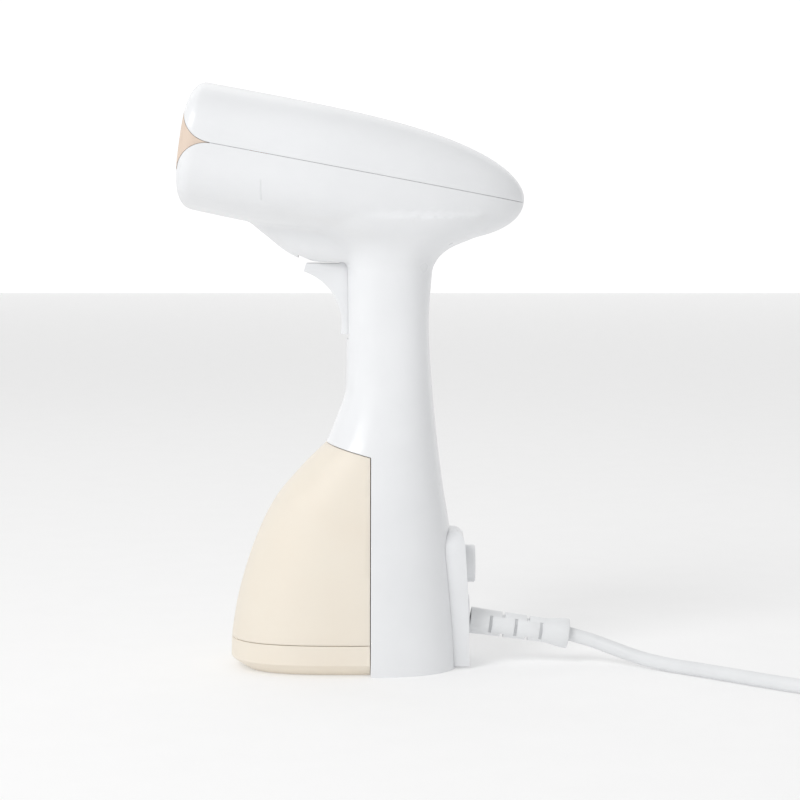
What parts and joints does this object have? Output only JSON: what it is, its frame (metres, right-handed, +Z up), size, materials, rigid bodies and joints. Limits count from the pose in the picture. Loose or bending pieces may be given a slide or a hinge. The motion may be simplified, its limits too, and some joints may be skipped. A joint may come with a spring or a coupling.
{
  "type": "garment steamer",
  "caption": "Handheld garment steamer with a whale-shaped head, pistol grip and trigger, clip-on translucent water tank that forms its standing base, and a mains lead.",
  "frame": {"origin": "on the surface it stands on, under the middle of the object's box without the cord set", "axes": "+X to the rear where the cord leaves, the nozzle points to -X, +Z up, Y from side to side"},
  "size_m": [0.4162, 0.1648, 0.2751],
  "materials": {
    "white_shell": "satin gloss moulded",
    "white_trim": "satin moulded",
    "champagne_panel": "fine satin",
    "champagne_tank": "translucent satin",
    "screw_steel": "plated",
    "cast_aluminium": "as cast",
    "silicone_red": "matte",
    "heater_sheath": "oxidised",
    "inner_plastic": "moulded",
    "ceramic_fuse": "glazed",
    "nipple_brass": "turned",
    "spring_steel": "drawn wire",
    "black_plastic": "moulded",
    "coil_copper": "lacquered winding",
    "yoke_steel": "zinc plated",
    "silicone_clear": "translucent silicone",
    "wire_sleeve": "silicone sleeve",
    "stopper_silicone": "soft matte",
    "black_rubber": "matte",
    "grey_rubber": "matte",
    "board_green": "solder mask",
    "cord_white": "satin sheath",
    "relief_white": "satin moulded",
    "tie_fabric": "hook-and-loop strap",
    "pin_nickel": "nickel plated"
  },
  "bodies": {
    "housing": {"left_housing": "white_shell", "right_housing": "white_shell", "head_cover": "white_shell", "steam_panel": "champagne_panel", "housing_screws": "screw_steel", "boiler_block": "cast_aluminium", "boiler_gasket": "silicone_red", "boiler_cover": "cast_aluminium", "boiler_screws": "screw_steel", "heating_element": "heater_sheath", "steam_chamber": "inner_plastic", "thermostat": "screw_steel", "thermal_fuse": "ceramic_fuse", "inlet_nipple": "nipple_brass", "trigger_pin": "screw_steel", "trigger_spring": "spring_steel", "grip_frame": "inner_plastic", "switch_body": "black_plastic", "switch_pin": "screw_steel", "pump_body": "inner_plastic", "pump_coil": "coil_copper", "pump_yoke": "yoke_steel", "pump_spring": "spring_steel", "inlet_tube": "silicone_clear", "outlet_tube": "silicone_clear", "supply_wires": "wire_sleeve", "dock_socket": "inner_plastic", "base_plate": "white_trim", "base_screws": "screw_steel", "rubber_feet": "grey_rubber", "rear_panel": "white_trim", "button_spring": "spring_steel", "control_board": "board_green", "cord_clamp": "white_trim", "clamp_screws": "screw_steel", "cord_gland": "white_trim", "inner_cord": "cord_white", "strain_relief": "relief_white", "cord_lead": "cord_white", "cord_coil": "cord_white", "cord_tail": "cord_white", "cord_tie": "tie_fabric", "plug_body": "relief_white", "plug_pins": "pin_nickel"},
    "trigger": {"trigger": "white_trim"},
    "switch_lever": {"switch_lever": "spring_steel"},
    "power_button": {"power_button": "white_trim"},
    "tank": {"tank_shell": "champagne_tank", "tank_floor": "champagne_tank", "tank_spout": "inner_plastic", "spout_seal": "black_rubber", "suction_tube": "silicone_clear", "valve_spring": "spring_steel"},
    "tank_stopper": {"tank_stopper": "stopper_silicone"},
    "tank_valve": {"tank_valve": "black_plastic"},
    "pump_plunger": {"pump_plunger": "screw_steel"}
  },
  "joints": [
    {"name": "trigger_pull", "type": "hinge", "parent": "housing", "child": "trigger", "pos_m": [-0.002, 0, 0.1975], "axis": [0, -1, 0], "range_deg": [0, 6], "stiffness_Nm_per_rad": 0.6, "springref_deg": -3.44, "deforming": ["trigger_spring"]},
    {"name": "switch_tilt", "type": "hinge", "parent": "housing", "child": "switch_lever", "pos_m": [0.0056, 0, 0.1705], "axis": [0, 1, 0], "range_deg": [0, 9.5]},
    {"name": "button_press", "type": "slide", "parent": "housing", "child": "power_button", "axis": [-1, 0, 0], "range_m": [0, 0.0018], "stiffness_N_per_m": 600, "springref_m": -0.001, "deforming": ["button_spring"]},
    {"name": "tank_release", "type": "slide", "parent": "housing", "child": "tank", "axis": [-1, 0, 0], "range_m": [0, 0.115]},
    {"name": "stopper_pull", "type": "slide", "parent": "tank", "child": "tank_stopper", "axis": [0, 0, -1], "range_m": [0, 0.02]},
    {"name": "valve_lift", "type": "slide", "parent": "tank", "child": "tank_valve", "axis": [1, 0, 0], "range_m": [0, 0.0015], "stiffness_N_per_m": 80, "springref_m": -0.001, "deforming": ["valve_spring"]},
    {"name": "plunger_stroke", "type": "slide", "parent": "housing", "child": "pump_plunger", "axis": [0, 0, 1], "range_m": [0, 0.0018], "stiffness_N_per_m": 300, "springref_m": -0.001, "deforming": ["pump_spring"]}
  ],
  "couplings": [
    {"joint": "switch_tilt", "follows": "trigger_pull", "ratio": 1.571}
  ]
}
